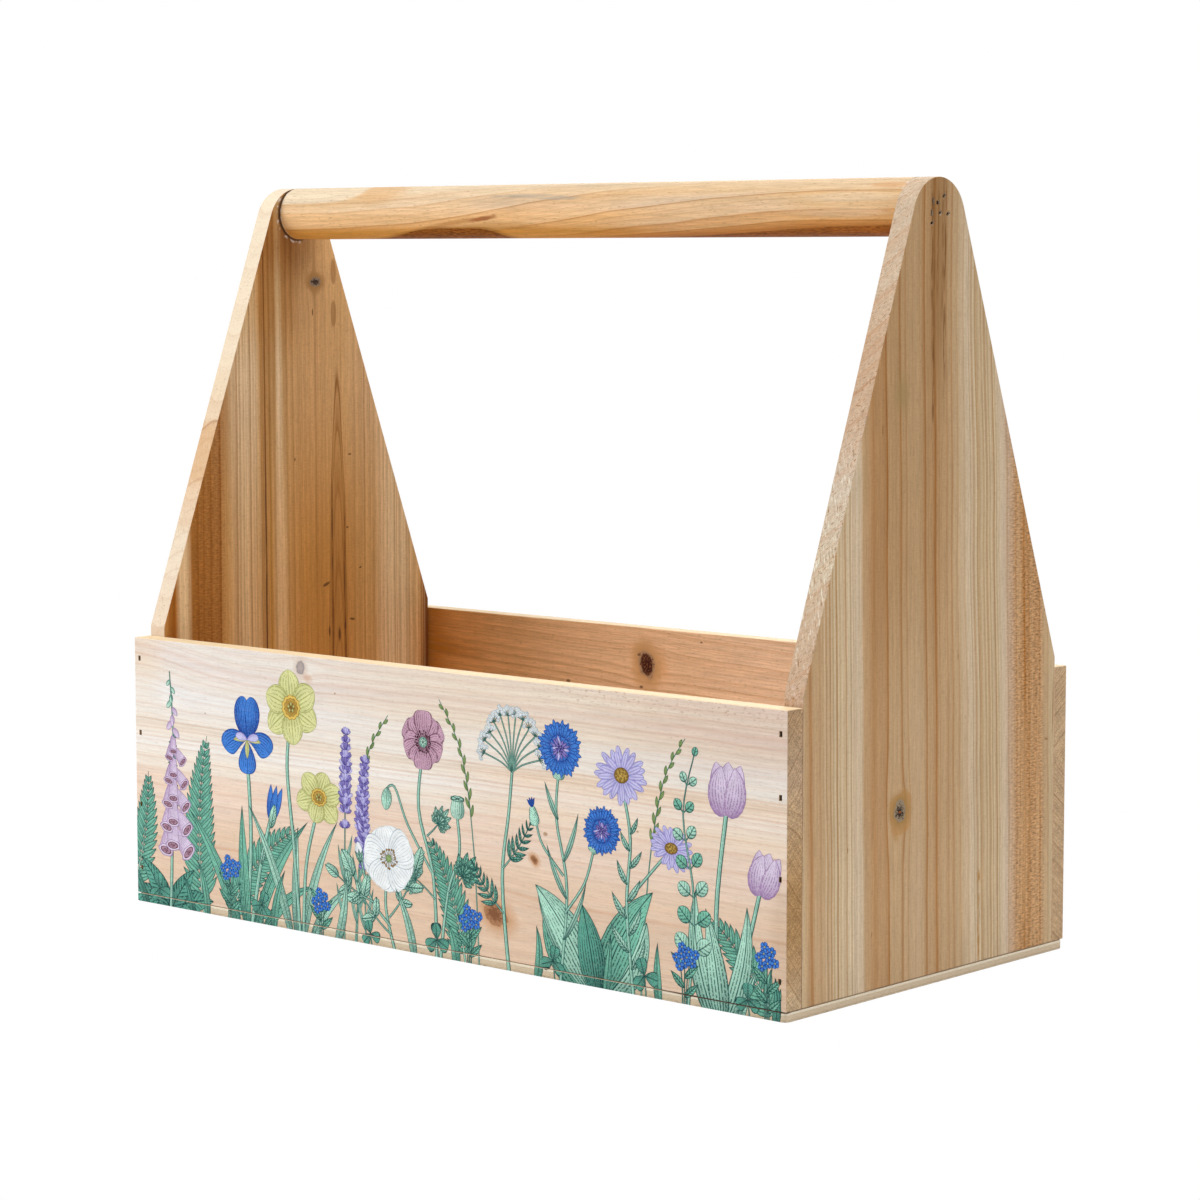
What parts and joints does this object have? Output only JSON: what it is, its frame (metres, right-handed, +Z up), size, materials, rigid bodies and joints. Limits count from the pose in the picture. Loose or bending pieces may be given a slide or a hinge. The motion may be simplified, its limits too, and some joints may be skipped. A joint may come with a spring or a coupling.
{
  "type": "carry box",
  "caption": "Open-topped wooden carry box with tapered end panels joined by a round dowel handle, nailed from planed boards on a plywood base.",
  "frame": {"origin": "on the surface that it stands on, under the middle of the base", "axes": "+X along the length and the handle, to the right seen from the printed front; +Y from the front board to the back board; +Z up"},
  "size_m": [0.4, 0.201, 0.344],
  "materials": {
    "front_board": "planed pale softwood, bare",
    "back_board": "planed softwood, bare",
    "end_panels": "planed softwood with upright grain, bare",
    "base": "plywood, bare",
    "handle": "turned dowel, bare",
    "brads": "bright wire brads, sunk",
    "floral_print": "matt ink printed on the bare front board"
  },
  "bodies": {
    "root": {"front_board_lower": "front_board", "front_board_upper": "front_board", "back_board_lower": "back_board", "back_board_upper": "back_board", "left_end_panel": "end_panels", "right_end_panel": "end_panels", "base_board": "base", "handle": "handle", "back_left_brad_1": "brads", "back_left_brad_2": "brads", "back_left_brad_3": "brads", "back_left_brad_4": "brads", "back_right_brad_1": "brads", "back_right_brad_2": "brads", "back_right_brad_3": "brads", "back_right_brad_4": "brads", "base_back_brad_1": "brads", "base_back_brad_2": "brads", "base_back_brad_3": "brads", "base_back_brad_4": "brads", "base_front_brad_1": "brads", "base_front_brad_2": "brads", "base_front_brad_3": "brads", "base_front_brad_4": "brads", "base_left_brad_1": "brads", "base_left_brad_2": "brads", "base_right_brad_1": "brads", "base_right_brad_2": "brads", "front_left_brad_1": "brads", "front_left_brad_2": "brads", "front_left_brad_3": "brads", "front_left_brad_4": "brads", "front_right_brad_1": "brads", "front_right_brad_2": "brads", "front_right_brad_3": "brads", "front_right_brad_4": "brads", "handle_left_brad_1": "brads", "handle_left_brad_2": "brads", "handle_left_brad_3": "brads", "handle_left_brad_4": "brads", "handle_left_brad_5": "brads", "handle_left_brad_6": "brads", "handle_left_brad_7": "brads", "handle_right_brad_1": "brads", "handle_right_brad_2": "brads", "handle_right_brad_3": "brads", "handle_right_brad_4": "brads", "handle_right_brad_5": "brads", "handle_right_brad_6": "brads", "handle_right_brad_7": "brads"}
  },
  "joints": []
}
